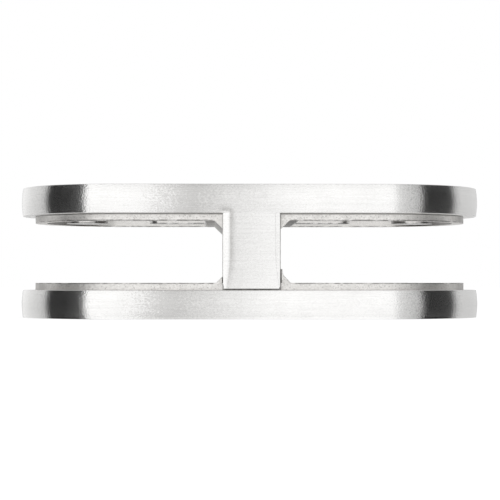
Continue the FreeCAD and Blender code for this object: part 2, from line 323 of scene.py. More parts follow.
def round_edges(bm, edges, offset, segments, clamp=False):
    """Round or chamfer edges."""
    bmesh.ops.bevel(
        bm, geom=edges, offset=offset, offset_type="OFFSET", segments=segments, profile=0.5, affect="EDGES",
        material=-1, clamp_overlap=clamp,
    )


def turn_outwards(bm):
    """Turn the faces outwards."""
    bmesh.ops.recalc_face_normals(bm, faces=bm.faces)


def add_block(bm, low, high):
    """Block between two corners."""
    low, high = Vector(low), Vector(high)
    made = bmesh.ops.create_cube(bm, size=1.0)
    bmesh.ops.scale(bm, verts=made["verts"], vec=high - low)
    bmesh.ops.translate(bm, verts=made["verts"], vec=(high + low) / 2)


def add_prism(bm, corners, half_depth):
    """Prism along Y with a cross-section in X and Z."""
    face = bm.faces.new([bm.verts.new((x, -half_depth, z)) for x, z in corners])
    draw_out(bm, [face], (0, 2 * half_depth, 0))


def add_cylinder(bm, centre, radius, depth, top_radius=None, segments=ROUND_SEGMENTS):
    """Cylinder or cone that stands on its centre."""
    top_radius = radius if top_radius is None else top_radius
    bmesh.ops.create_cone(
        bm, cap_ends=True, segments=segments, radius1=radius, radius2=top_radius, depth=depth,
        matrix=Matrix.Translation(Vector(centre) + Vector((0, 0, depth / 2))),
    )


def add_part(bm, part):
    """Put a part, its faces turned outwards, into a bmesh, and drop the part's own."""
    turn_outwards(part)
    mesh = bpy.data.meshes.new("part")
    part.to_mesh(mesh)
    part.free()
    bm.from_mesh(mesh)
    bpy.data.meshes.remove(mesh)


def new_object(bm, name):
    """Object at the origin from a bmesh."""
    mesh = bpy.data.meshes.new(name)
    bm.to_mesh(mesh)
    bm.free()
    piece = bpy.data.objects.new(name, mesh)
    bpy.context.scene.collection.objects.link(piece)
    return piece


@contextlib.contextmanager
def reopened(piece):
    """Bmesh of a piece, written back when the work on it is done."""
    bm = bmesh.new()
    bm.from_mesh(piece.data)
    yield bm
    bm.to_mesh(piece.data)
    bm.free()


def bake_modifiers(piece):
    """Put the result of a piece's modifiers into its mesh."""
    graph = bpy.context.evaluated_depsgraph_get()
    baked = bpy.data.meshes.new_from_object(piece.evaluated_get(graph))
    old = piece.data
    piece.modifiers.clear()
    piece.data = baked
    bpy.data.meshes.remove(old)
    baked.name = piece.name


def cut_away(piece, cutter, join=False):
    """Take a cutter out of a piece, whose own blocks may run into each other, and drop the cutter."""
    cut = piece.modifiers.new("cut", "BOOLEAN")
    cut.operation = "DIFFERENCE"
    cut.solver = "EXACT"
    cut.use_self = join
    cut.object = cutter
    bake_modifiers(piece)
    mesh = cutter.data
    bpy.data.objects.remove(cutter)
    bpy.data.meshes.remove(mesh)


def soften(piece, angle=SHARP_ANGLE):
    """Smooth faces, with the edges sharper than an angle kept."""
    with reopened(piece) as bm:
        for face in bm.faces:
            face.smooth = True
        for edge in bm.edges:
            edge.smooth = len(edge.link_faces) == 2 and edge.calc_face_angle() < angle


def paint(piece, finishes, pick=lambda polygon: 0):
    """Finishes of a piece, and the number of the one that each polygon takes."""
    piece.data.materials.clear()
    for name in finishes:
        piece.data.materials.append(steel(name))
    for polygon in piece.data.polygons:
        polygon.material_index = pick(polygon)


def hand_over(piece, body, node, slot="brushed_stainless"):
    """Let a piece ride on its body and stand for its node."""
    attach(piece, body)
    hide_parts(node)


def plain(values):
    """Colour with full opacity."""
    return (values[0], values[1], values[2], 1.0)


class Net:
    """Shader nodes of one tree, added by what they do. Each way gives the output that is used."""

    def __init__(self, tree):
        self.tree = tree

    def add(self, kind, settings=None, numbered=None, **named):
        """Node with its settings, and its inputs by number or by name, with underscores for spaces."""
        node = self.tree.nodes.new(kind)
        for key, value in (settings or {}).items():
            setattr(node, key, value)
        named = {key.replace("_", " "): value for key, value in named.items()}
        for key, value in {**(numbered or {}), **named}.items():
            if isinstance(value, bpy.types.NodeSocket):
                self.tree.links.new(value, node.inputs[key])
            else:
                node.inputs[key].default_value = value
        return node

    def math(self, operation, first, second=0.0, clamp=False):
        """Result of a sum on two values."""
        settings = {"operation": operation, "use_clamp": clamp}
        return self.add("ShaderNodeMath", settings, {0: first, 1: second}).outputs[0]

    def times(self, *values):
        """Product of values."""
        return functools.reduce(functools.partial(self.math, "MULTIPLY"), values)

    def plus(self, *values):
        """Sum of values."""
        return functools.reduce(functools.partial(self.math, "ADD"), values)

    def most(self, *values):
        """Largest of values."""
        return functools.reduce(functools.partial(self.math, "MAXIMUM"), values)

    def minus(self, first, second, clamp=False):
        """Difference of two values, held between 0 and 1 where it is clamped."""
        return self.math("SUBTRACT", first, second, clamp)

    def amount(self, value):
        """Value without its sign."""
        return self.math("ABSOLUTE", value)

    def weigh(self, *shares):
        """Sum of values, each times its weight."""
        return self.plus(*[self.times(value, weight) for value, weight in shares])

    def remap(self, value, source, result=RISE, smooth=False):
        """Value carried from one range to another and held inside it."""
        settings = {"interpolation_type": "SMOOTHSTEP" if smooth else "LINEAR", "clamp": True}
        ends = {"From_Min": source[0], "From_Max": source[1], "To_Min": result[0], "To_Max": result[1]}
        return self.add("ShaderNodeMapRange", settings, Value=value, **ends).outputs["Result"]

    def mix(self, factor, first, second):
        """Mix of two colours."""
        ends = [end if isinstance(end, bpy.types.NodeSocket) else plain(end) for end in (first, second)]
        node = self.add("ShaderNodeMix", {"data_type": "RGBA"}, {0: factor, 6: ends[0], 7: ends[1]})
        return node.outputs[2]

    def either(self, factor, first, second):
        """Mix of two shaders."""
        return self.add("ShaderNodeMixShader", None, {0: factor, 1: first, 2: second}).outputs[0]

    def noise(self, place, scale, detail, roughness, distortion=0.0):
        """Cloudy noise."""
        grain = {"Detail": detail, "Roughness": roughness, "Distortion": distortion}
        return self.add("ShaderNodeTexNoise", Vector=place, Scale=scale, **grain).outputs["Fac"]

    def stretch(self, place, scale):
        """Coordinates stretched along their axes."""
        return self.add("ShaderNodeMapping", Vector=place, Scale=scale).outputs["Vector"]

    def parts(self, vector):
        """Parts X, Y and Z of a vector."""
        return self.add("ShaderNodeSeparateXYZ", Vector=vector).outputs

    def coordinates(self, kind):
        """Coordinates of one kind."""
        return self.add("ShaderNodeTexCoord").outputs[kind]

    def bump(self, height, strength, distance, **under):
        """Normal raised by a height, over the normal under it."""
        node = self.add("ShaderNodeBump", Height=height, Strength=strength, Distance=distance, **under)
        return node.outputs["Normal"]

    def effect(self, fill, **inputs):
        """Shared effect with the values of its inputs."""
        return self.add("ShaderNodeGroup", {"node_tree": effect_group(fill)}, **inputs).outputs


def effect_group(fill):
    """Shader node group with the name, inputs and results of the function that fills it, made once."""
    name = fill.__name__.replace("_", " ").capitalize()
    if name in bpy.data.node_groups:
        return bpy.data.node_groups[name]
    group = bpy.data.node_groups.new(name, "ShaderNodeTree")
    source = group.nodes.new("NodeGroupInput")
    result = group.nodes.new("NodeGroupOutput")
    inputs = list(inspect.signature(fill).parameters.values())[1:]
    for item in inputs:
        label = item.name.replace("_", " ").title()
        kind = "NodeSocketFloat" if isinstance(item.default, float) else "NodeSocketVector"
        group.interface.new_socket(label, in_out="INPUT", socket_type=kind).default_value = item.default
    for label, value in fill(Net(group), *source.outputs[: len(inputs)]).items():
        group.interface.new_socket(label, in_out="OUTPUT", socket_type="NodeSocketFloat")
        group.links.new(value, result.inputs[label])
    return group


def brush_lines(net, vector=ORIGIN, stroke_scale=(150.0, 150.0, 6500.0), grit_scale=(2600.0, 2600.0, 3600.0)):
    """Fine parallel lines left by the brush, drawn long along the stroke, and the grit between them."""
    strokes = net.stretch(vector, stroke_scale)
    fine = net.noise(strokes, scale=1.0, detail=3.0, roughness=0.65)
    broad = net.noise(strokes, scale=0.3, detail=2.0, roughness=0.5)
    grit = net.noise(net.stretch(vector, grit_scale), scale=1.0, detail=1.5, roughness=0.6)
    return {"Lines": net.weigh((fine, 0.75), (broad, 0.25)), "Grit": grit}


def ground_patches(net, vector=ORIGIN, patch_scale=140.0):
    """Faint cloudy patches from grinding by hand and from handling, and slow waves."""
    cloud = net.noise(vector, patch_scale, detail=4.0, roughness=0.6, distortion=0.4)
    waves = net.noise(vector, net.times(patch_scale, 0.5), detail=1.0, roughness=0.4)
    return {"Patches": net.remap(cloud, (0.3, 0.7)), "Waves": waves}


def along_front(net, parts):
    """Distance along the clamp to the right, as seen from the front, and turned round on the back."""
    front = net.times(net.math("SIGN", parts["Y"]), -1.0)
    return net.times(parts["X"], front)


def rubbed_zone(
    net, vector=ORIGIN, specks=0.5, outer_edge=-26.0 * MM, middle=-14.0 * MM, inner_edge=10.0 * MM,
    slant=0.18, speckle=20.0 * MM, falloff=1.3,
):
    """Painted dark reflection beside the web, slanted across it, and the grit on the ends."""
    parts = net.parts(vector)
    along = along_front(net, parts)
    # The grit of the grinding shows on the turn of the ends, and faintly before the right one.
    left_start, left_stop = (-46.0 * MM, -44.0 * MM), (-37.6 * MM, -36.0 * MM)
    faint_start, strong_start = (30.5 * MM, 33.0 * MM), (37.0 * MM, 38.6 * MM)
    right_stop = (43.0 * MM, 45.0 * MM)
    left_grit, faint_grit, strong_grit = (0.0, 0.3), (0.0, 0.35), (0.0, 0.25)
    left = net.times(net.remap(along, left_start, left_grit), net.remap(along, left_stop, FALL))
    right = net.plus(net.remap(along, faint_start, faint_grit), net.remap(along, strong_start, strong_grit))
    ends = net.plus(left, net.times(right, net.remap(along, right_stop, FALL)))
    # The border towards the bright side breaks up into specks.
    height = net.minus(parts["Z"], sizes().clamp_height / 2)
    slanted = net.minus(along, net.times(height, slant))
    loose = net.times(net.minus(specks, 0.5), speckle)
    # Painted dark reflection: it darkens from the outer edge to the middle and lightens again towards the
    # inner edge.
    rise = net.remap(net.plus(slanted, loose), (outer_edge, middle), smooth=True)
    fall = net.remap(slanted, (middle, inner_edge), FALL)
    return {"Zone": net.times(rise, net.math("POWER", fall, falloff)), "Ends": ends}


def ground_facet(
    net, vector=ORIGIN, edge=6.0 * MM, facet_width=0.98 * MM, foot=6.0 * MM, full_height=14.0 * MM,
    top=21.95 * MM, line_start=0.35 * MM, line_width=2.0 * MM,
):
    """Painted highlight on the ground facet along the upright edges of the web, rounded off above it, and a
    painted shade line where the facet starts.
    """
    parts = net.parts(vector)
    along = along_front(net, parts)
    up = net.remap(parts["Z"], (foot, full_height), (0.0, math.pi / 2))
    swell = net.plus(net.times(net.math("SINE", up), 1.0 - FOOT_FACET), FOOT_FACET)
    # Distance from the facet, which is on the left of the web and round at its top.
    inward = net.plus(along, net.minus(edge, net.times(facet_width, swell)))
    sideways = net.most(inward, 0.0)
    upwards = net.most(net.minus(parts["Z"], top), 0.0)
    away = net.math("SQRT", net.plus(net.math("POWER", sideways, 2.0), net.math("POWER", upwards, 2.0)))
    web_start, facet_border = (-7.2 * MM, -5.9 * MM), (0.0, 0.6 * MM)
    on_web = net.times(net.remap(along, web_start), net.math("GREATER_THAN", parts["Z"], foot))
    # Painted highlight: on the facet the painted dark reflection is lifted.
    facet = net.times(net.remap(away, facet_border, FALL), on_web)
    # Painted shade: a dull line beside the facet.
    beside = net.remap(away, (line_start, line_width), FALL, smooth=True)
    return {"Facet": facet, "Line": net.times(beside, net.minus(1.0, facet), on_web, swell)}


def cast_grain(net, vector=ORIGIN, grain_scale=2200.0):
    """Grain of a sand-cast skin: close bumps with small pits between them."""
    bumps = net.noise(vector, grain_scale, detail=4.0, roughness=0.62)
    cell_scale = net.times(grain_scale, 0.8)
    cells = net.add("ShaderNodeTexVoronoi", Vector=vector, Scale=cell_scale, Randomness=1.0)
    pits = net.remap(cells.outputs["Distance"], (0.12, 0.5), FALL)
    height = net.minus(bumps, net.times(pits, 0.25))
    return {"Peaks": net.remap(bumps, (0.35, 0.65)), "Pits": pits, "Height": height}


def brushed(net, place, finish, stroke_scale, tangent, rubbed, rough, stretch):
    """Stainless steel brushed along one direction, with a share of painted dark reflection beside the web,
    where it is also rougher.
    """
    brush = net.effect(brush_lines, Vector=place, Stroke_Scale=stroke_scale)
    patches = net.effect(ground_patches, Vector=place, Patch_Scale=170.0)
    zones = net.effect(rubbed_zone, Vector=place, Specks=brush["Grit"])
    facet = net.effect(ground_facet, Vector=place)
    # Painted shade: the dark reflection beside the web, lifted on the facet, and the shaded line beside the
    # facet darken the base colour.
    kept = net.minus(zones["Zone"], facet["Facet"], clamp=True)
    dull = net.weigh((kept, rubbed), (facet["Line"], 0.4))
    tone = net.weigh((brush["Lines"], 0.54), (patches["Patches"], 0.1), (brush["Grit"], 0.36))
    bright = net.remap(tone, (0.35, 0.6), (0.8, 1.0))
    # Where the painted shade lies, and on its ends, its grit shows more.
    shown = net.weigh((dull, 0.6), (zones["Ends"], 4.5 * rubbed))
    grit = net.times(net.minus(brush["Grit"], 0.5), shown)
    level = net.minus(net.plus(bright, grit), dull, clamp=True)
    across = net.add("ShaderNodeCombineXYZ", X=tangent[0], Y=tangent[1], Z=tangent[2])
    wavy = net.bump(patches["Waves"], strength=0.1, distance=0.3 * MM)
    lined = net.bump(brush["Lines"], strength=0.35, distance=0.02 * MM, Normal=wavy)
    return {
        "Base_Color": net.mix(level, finish.brushed_dark, finish.brushed_light),
        "Metallic": 1.0,
        "Roughness": net.remap(level, RISE, (rough + 0.09, rough)),
        "Anisotropic": stretch,
        "Tangent": across.outputs["Vector"],
        "Normal": net.bump(brush["Grit"], strength=1.0, distance=0.024 * MM, Normal=lined),
    }


def cast(net, place, finish, rough, bump, pinholes, wear, flanks):
    """Stainless steel as it came from the mould, with dark pinholes, shares of wear and of painted shade in
    its ledge corners and on its flanks, painted shade on its edges and lands, and a painted dark reflection
    on its ends.
    """
    size = sizes()
    grain = net.effect(cast_grain, Vector=place, Grain_Scale=2300.0)
    patches = net.effect(ground_patches, Vector=place, Patch_Scale=420.0)
    tone = net.weigh((grain["Peaks"], 0.5), (patches["Patches"], 0.5))
    worn = net.minus(tone, net.times(grain["Pits"], 0.3), clamp=True)
    worn = net.remap(worn, RISE, (0.5 - 0.5 * wear, 0.5 + 0.5 * wear))
    skin = net.mix(worn, finish.cast_dark, finish.cast_light)
    parts = net.parts(place)
    turned = net.parts(net.coordinates("Normal"))
    sideways = net.amount(parts["X"])
    facing_along = net.amount(turned["X"])

    # Painted shade darkens the edges of the beds in broken patches, and the corners where they meet the
    # shells, strongly on the upper jaw.
    edge_width, corner_width = (0.08 * MM, 0.3 * MM), (0.1 * MM, 0.28 * MM)
    corner_darkness = {"jaw": 0.9 * wear, "cover": 0.1 * wear}
    edges = []
    corners = []
    for body, jaw in jaw_sides().items():
        from_edge = net.amount(net.minus(parts["Z"], jaw.level(-size.bed_height)))
        edges.append(net.remap(from_edge, edge_width, FALL))
        from_corner = net.amount(net.minus(parts["Z"], jaw.level(0.0)))
        corners.append(net.remap(from_corner, corner_width, (corner_darkness[body], 0.0)))
    breaks = net.noise(net.stretch(place, (520.0, 520.0, 1500.0)), scale=1.0, detail=4.0, roughness=0.7)
    # Only upright walls get this painted shade, and only clear of the web, so the flat of the rim is clean.
    upright = net.remap(net.amount(turned["Z"]), (0.45, 0.75), FALL)
    clear = net.remap(sideways, (7.8 * MM, 8.2 * MM), (0.0, 0.9))
    broken = net.times(net.most(*edges), net.remap(breaks, (0.4, 0.54), (0.25, 1.0)), clear)
    chips = net.times(net.most(*corners, broken), upright)

    # Painted shade: a dark line in the corner beside the brushed front of the web, where the side of the core
    # lies in shadow.
    half_web = size.web_thickness / 2
    beside = net.remap(sideways, (half_web + 0.04 * MM, half_web + 0.2 * MM), (0.65, 0.0))
    corner_line = net.times(beside, net.remap(net.amount(turned["Y"]), (0.5, 0.8)))
    # The undersides of the lands beside the web get painted shade, stronger on the right.
    land = net.remap(sideways, (hollow_start() - 0.1 * MM, hollow_start() + 0.1 * MM), FALL)
    left_to_right = net.remap(parts["X"], (-8.0 * MM, 8.0 * MM), (0.42, 0.75))
    underside = net.times(land, left_to_right, net.remap(turned["Z"], (-0.7, -0.4), FALL))
    holes = net.remap(net.noise(place, scale=3300.0, detail=2.0, roughness=0.6), (0.56, 0.7), (0.0, pinholes))
    # Painted shade: inside the hollows, past the ribs, the walls that face along the jaw are darkened.
    past_rib = (size.rib_reach, size.boss_distance - size.boss_diameter / 2)
    steep = net.minus(facing_along, net.remap(sideways, past_rib, (1.1, 0.45)))
    walls = net.remap(steep, (0.0, 0.2), (0.25 * flanks, flanks))
    # Painted dark reflection on the round ends of the beds, where they face along the clamp.
    ends = net.times(net.remap(facing_along, (0.72, 0.88), (0.0, 0.55 * (1.0 - flanks))), clear)
    return {
        # Pinholes, painted shade and painted dark reflection all take the dark colour.
        "Base_Color": net.mix(net.most(chips, corner_line, underside, holes, walls, ends), skin, finish.chip),
        "Metallic": 0.9,
        "Roughness": net.remap(worn, RISE, (rough + 0.16, rough)),
        "Normal": net.bump(grain["Height"], strength=bump, distance=0.04 * MM),
    }


def lathe_turned(net, place, finish):
    """Turned stainless steel of the screws."""
    brush = net.effect(brush_lines, Vector=place, Stroke_Scale=(300.0, 300.0, 6000.0))
    patches = net.effect(ground_patches, Vector=place, Patch_Scale=500.0)
    tone = net.weigh((brush["Lines"], 0.4), (patches["Patches"], 0.6))
    return {
        "Base_Color": net.mix(tone, finish.screw_dark, finish.screw_light),
        "Metallic": 1.0,
        "Roughness": net.remap(tone, (0.2, 0.8), (0.42, 0.28)),
        "Normal": net.bump(brush["Lines"], strength=0.2, distance=0.02 * MM),
    }


# Sides and outer faces of the jaws, brushed along the clamp, the open skin of the castings, the smoother
# skin that the core of the mould left in their hollows, and the screws.
FINISHES = {
    # The sides take most of the painted dark reflection beside the web, the faces little of it.
    "brushed_side": functools.partial(
        brushed, stroke_scale=(150.0, 150.0, 6500.0), tangent=(0.0, 0.0, 1.0), rubbed=0.7, rough=0.17,
        stretch=0.7,
    ),
    "brushed_face": functools.partial(
        brushed, stroke_scale=(90.0, 6500.0, 90.0), tangent=(0.0, 1.0, 0.0), rubbed=0.1, rough=0.36,
        stretch=0.4,
    ),
    # The cast skin takes the painted ledge shade with its wear, and the cored skin takes painted shade on its
    # flanks.
    "cast_skin": functools.partial(cast, rough=0.34, bump=0.35, pinholes=0.4, wear=1.0, flanks=0.0),
    "cored_skin": functools.partial(cast, rough=0.16, bump=0.02, pinholes=0.0, wear=0.3, flanks=0.75),
    "screw_steel": lathe_turned,
}


def new_material(name):
    """Empty material, its nodes, and the object's own coordinates."""
    material = bpy.data.materials.new(name)
    material.use_nodes = True
    net = Net(material.node_tree)
    net.tree.nodes.clear()
    return material, net, net.coordinates("Object")


def steel(name):
    """Steel with one of the finishes, made when it is first asked for."""
    if name in bpy.data.materials:
        return bpy.data.materials[name]
    material, net, place = new_material(name)
    sockets = FINISHES[name](net, place, bpy.context.scene.clamp_finish)
    shader = net.add("ShaderNodeBsdfPrincipled", **sockets)
    net.add("ShaderNodeOutputMaterial", Surface=shader.outputs["BSDF"])
    return material


def make_shell(name, jaw):
    """Brushed outside of a jaw: crowned sides, rounded edges, flat outer face and a ledge round the bed."""
    size = sizes()
    thickness = size.jaw_thickness
    radius = size.edge_radius
    edge = half_width() - radius
    tuck = half_bed() - TUCK
    tuck_depth = 2.0 * MM
    face_inset = 0.5 * MM
    half_crown = thickness / 2 - radius
    crown_radius = (half_crown**2 + size.side_crown**2) / (2 * size.side_crown)
    crown_angle = -jaw.outward * 2 * math.asin(half_crown / crown_radius)
    quarter = -jaw.outward * math.pi / 2

    def point(out, height):
        return Vector((end_centre(), -out, jaw.level(height)))

    bm = bmesh.new()
    vert = bm.verts.new(point(tuck, tuck_depth))
    vert = add_line(bm, vert, point(tuck, 0.0))
    vert = add_line(bm, vert, point(edge, 0.0))
    vert = add_arc(bm, vert, point(edge, radius), quarter, EDGE_STEPS)
    crown_centre = point(size.clamp_width / 2 - crown_radius, thickness / 2)
    vert = add_arc(bm, vert, crown_centre, crown_angle, CROWN_STEPS)
    add_arc(bm, vert, point(edge, thickness - radius), quarter, EDGE_STEPS)
    sweep_round(bm)
    bmesh.ops.holes_fill(bm, edges=[item for item in bm.edges if item.is_boundary], sides=0)
    turn_outwards(bm)
    outer = max(bm.faces, key=lambda face: face.calc_area() if face.normal.z * jaw.outward > FLAT else 0.0)
    bmesh.ops.inset_region(bm, faces=[outer], thickness=face_inset, use_even_offset=True)
    return new_object(bm, name)


class CLAMP_OT_jaw_shells(bpy.types.Operator):
    """Build the brushed outsides of both jaws"""

    bl_idname = "clamp.jaw_shells"
    bl_label = "Jaw shells"

    def execute(self, context):
        size = sizes()
        shells = {body: make_shell(f"{body}_shell", jaw) for body, jaw in jaw_sides().items()}
        passage = size.passage_diameter / 2
        bm = bmesh.new()
        for place in screw_places().values():
            # The countersink follows the cone of the head, and the passage goes on through the cover.
            sink = size.head_diameter / 2 + place.z + size.head_rim + size.seat_clearance
            depth = sink - passage
            low = (place.x, place.y, -OVERLAP)
            add_cylinder(bm, low, sink + OVERLAP, depth + OVERLAP, passage, SINK_SEGMENTS)
            high = (place.x, place.y, depth - OVERLAP)
            add_cylinder(bm, high, passage, PASSAGE_LENGTH, segments=SINK_SEGMENTS)
        cut_away(shells["cover"], new_object(bm, "countersinks"))
        for body, piece in shells.items():
            soften(piece)
            paint(piece, ("brushed_side", "brushed_face"), lambda polygon: int(abs(polygon.normal.z) > FLAT))
            hand_over(piece, body, NODES[body])
        return {"FINISHED"}


def facet_share(height):
    """Share of its full width that the ground facet of the web has at a height: it runs out at the foot."""
    size = sizes()
    foot = size.jaw_thickness
    rise = 0.55 * (size.clamp_height - 2 * size.jaw_thickness)
    share_up = min(max((height - foot) / rise, 0.0), 1.0)
    return FOOT_FACET + (1.0 - FOOT_FACET) * math.sin(share_up * math.pi / 2)


class CLAMP_OT_web_faces(bpy.types.Operator):
    """Build the brushed front and back of the web"""

    bl_idname = "clamp.web_faces"
    bl_label = "Web faces"

    def execute(self, context):
        size = sizes()
        half_web = size.web_thickness / 2
        foot = size.jaw_thickness + size.foot_gap
        top = size.clamp_height - size.jaw_thickness / 2
        front = -half_width()
        bevel_y = front + size.web_bevel_depth
        bevel_x = half_web - size.web_bevel_width
        inner = -half_bed() + TUCK
        facet_rounding = 0.12 * MM
        long_edge = 5.0 * MM

        def same(first, second):
            return abs(first - second) < SAME_PLACE

        def pick(test):
            return [edge for edge in bm.edges if test(edge.verts[0].co, edge.verts[1].co)]

        def is_foot_side(*ends):
            return all(same(end.z, foot) and same(abs(end.x), half_web) for end in ends)

        def is_upright(first, second):
            return abs(first.z - second.z) > long_edge

        def is_facet_border(first, second):
            return same(first.y, front) and same(second.y, front) and first.x * second.x > 0

        left = [(-half_web, inner), (-half_web, bevel_y), (-bevel_x, front)]
        outline = left + [(-x, y) for x, y in reversed(left)]
        bm = bmesh.new()
        base = bm.faces.new([bm.verts.new((x, y, foot)) for x, y in outline])
        draw_out(bm, [base], (0, 0, top - foot))
        turn_outwards(bm)
        round_edges(bm, pick(is_foot_side), size.foot_chamfer, segments=1)
        bmesh.ops.subdivide_edges(bm, edges=pick(is_upright), cuts=WEB_CUTS, use_grid_fill=True)
        for vert in bm.verts:
            share = facet_share(vert.co.z)
            if same(vert.co.y, front):
                vert.co.x = math.copysign(half_web - size.web_bevel_width * share, vert.co.x)
            elif same(vert.co.y, bevel_y):
                vert.co.y = front + size.web_bevel_depth * share * (1.0 if vert.co.x < 0 else RIGHT_FACET)
        round_edges(bm, pick(is_facet_border), facet_rounding, segments=4)
        # On the right the brushed front stands back from the edge of the core.
        for vert in bm.verts:
            if vert.co.x > half_web / 2:
                vert.co.x -= size.front_setback
        # The back is the front turned round.
        copied = bmesh.ops.duplicate(bm, geom=list(bm.verts) + list(bm.edges) + list(bm.faces))
        half_turn = Matrix.Rotation(math.pi, 3, "Z")
        bmesh.ops.rotate(bm, verts=only(BMVert, copied["geom"]), cent=(0, 0, 0), matrix=half_turn)
        turn_outwards(bm)
        piece = new_object(bm, "web_faces")
        soften(piece)
        paint(piece, ("brushed_side",))
        hand_over(piece, "jaw", NODES["jaw"])
        return {"FINISHED"}


class CastBed:
    """Bed of a jaw: floor, rim, round-tipped ribs and bosses with drafted walls, as blocks that overlap."""

    def __init__(self, bm, jaw):
        size = sizes()
        self.bm = bm
        self.jaw = jaw
        self.bed = -size.bed_height
        self.floor = self.bed + size.hollow_depth
        self.inside = self.floor + TUCK
        self.back = self.inside + 0.8 * MM
        self.lean = (self.inside - self.bed) * math.tan(size.draft)
        floor_half = half_hollow() + OVERLAP
        rib_half = size.rib_width / 2
        rib_tip = size.rib_reach - rib_half
        bottom, top = jaw.levels(self.floor, self.back)
        self.block(-end_centre(), end_centre(), floor_half, self.floor, self.back)
        for side in (1, -1):
            centre = (side * end_centre(), 0, bottom)
            add_cylinder(bm, centre, floor_half, top - bottom, segments=FLOOR_SEGMENTS)
            self.boss(side * size.boss_distance, size.boss_diameter / 2)
            self.boss(side * rib_tip, rib_half)
            self.rib(side * (hollow_start() - OVERLAP), side * rib_tip, rib_half)
        self.rim(half_hollow(), half_bed())

    def block(self, start, end, half_depth, low, high):
        """Block across the jaw, from one place along it to another."""
        low_x, high_x = sorted((start, end))
        low_z, high_z = self.jaw.levels(low, high)
        add_block(self.bm, (low_x, -half_depth, low_z), (high_x, half_depth, high_z))

    def boss(self, x, tip_radius):
        """Round boss, wider at its root."""
        low_radius, high_radius = (tip_radius, tip_radius + self.lean)[:: self.jaw.outward]
        bottom = self.jaw.levels(self.bed, self.inside)[0]
        add_cylinder(self.bm, (x, 0, bottom), low_radius, self.inside - self.bed, high_radius)

    def rib(self, start, end, tip_half):
        """Straight rib, wider at its root."""
        before = set(self.bm.verts)
        self.block(start, end, tip_half, self.bed, self.inside)
        for vert in set(self.bm.verts) - before:
            if abs(vert.co.z - self.jaw.level(self.inside)) < SAME_PLACE:
                vert.co.y = math.copysign(tip_half + self.lean, vert.co.y)

    def rim(self, inner, outer):
        """Rim round the hollows, wider at its root."""
        ring = bmesh.new()
        root = inner - self.lean
        corners = [(inner, self.bed), (outer, self.bed), (outer, self.inside), (root, self.inside)]
        verts = [ring.verts.new((end_centre(), -out, self.jaw.level(height))) for out, height in corners]
        for index, vert in enumerate(verts):
            ring.edges.new((vert, verts[index - 1]))
        sweep_round(ring)
        add_part(self.bm, ring)


def in_hollow(place):
    """Whether a place lies on the walls or the floor of a hollow."""
    rim_margin = 0.1 * MM
    land_margin = 0.25 * MM
    inward = math.hypot(max(abs(place.x) - end_centre(), 0.0), place.y)
    return inward < half_hollow() + rim_margin and abs(place.x) > hollow_start() - land_margin


def roughen(piece, height):
    """Divide a casting evenly and make its skin uneven outside the hollows, with its edges kept."""
    remesh = piece.modifiers.new("skin", "REMESH")
    remesh.mode = "SHARP"
    remesh.octree_depth = 8
    remesh.scale = 0.9
    remesh.sharpness = 1.0
    remesh.use_remove_disconnected = False
    bake_modifiers(piece)
    coarse_scale, fine_scale, share = 700.0, 1900.0, 0.6
    with reopened(piece) as bm:
        bm.normal_update()
        for vert in bm.verts:
            if not in_hollow(vert.co):
                coarse = noise.noise(vert.co * coarse_scale)
                fine = noise.noise(vert.co * fine_scale)
                vert.co += vert.normal * height * (share * coarse + share * fine)


def add_lips(piece, seat, bed_level, depth):
    """Lips that hold the foot of the web: the right one has a steep top, the left one is low and plain."""
    height = sizes().lip_height
    root = -0.4 * MM
    tip_width = 0.2 * MM
    rounding = 0.06 * MM
    low, high = 0.88 * height, 1.95 * height
    lips = {
        1: [(1.32 * height, 0.0), (0.26 * height, 1.13 * height), (tip_width, high), (0.0, high)],
        -1: [(low, 0.0), (0.0, low)],
    }
    with reopened(piece) as bm:
        for side, outline in lips.items():
            lip = bmesh.new()
            corners = [(0.0, root), (outline[0][0], root)] + outline
            add_prism(lip, [(side * (seat + out), bed_level + up) for out, up in corners], depth)
            round_edges(lip, list(lip.edges), rounding, segments=2, clamp=True)
            add_part(bm, lip)


def make_jaw_casting(jaw):
    """Bed of the upper jaw with the core of the web and a gusset on each side of it."""
    size = sizes()
    half_web = size.web_thickness / 2
    bm = bmesh.new()
    bed = CastBed(bm, jaw)
    bed.block(-hollow_start(), hollow_start(), half_bed(), bed.bed, bed.inside)
    bed_level = jaw.level(bed.bed)
    inside = bed_level + OVERLAP
    add_block(bm, (-half_web, -half_bed(), size.jaw_thickness), (half_web, half_bed(), inside))
    corners = [
        (half_web - OVERLAP, inside),
        (half_web + size.gusset_size + OVERLAP, inside),
        (half_web + size.gusset_size, bed_level),
        (half_web, bed_level - size.gusset_size),
        (half_web - OVERLAP, bed_level - size.gusset_size),
    ]
    for side in (1, -1):
        add_prism(bm, [(side * x, z) for x, z in corners], half_bed())
    turn_outwards(bm)
    return new_object(bm, "jaw_casting")


def make_cover_casting(jaw, seat):
    """Bed of the cover with a land on each side of the web's seat."""
    land_end = hollow_start() - 0.1 * MM
    land_depth = 2.0 * MM
    bm = bmesh.new()
    bed = CastBed(bm, jaw)
    bed.block(-hollow_start(), hollow_start(), half_bed(), 0.0, bed.inside)
    for side in (1, -1):
        bed.block(side * seat, side * land_end, half_bed(), bed.bed, bed.bed + land_depth)
    turn_outwards(bm)
    return new_object(bm, "cover_casting")


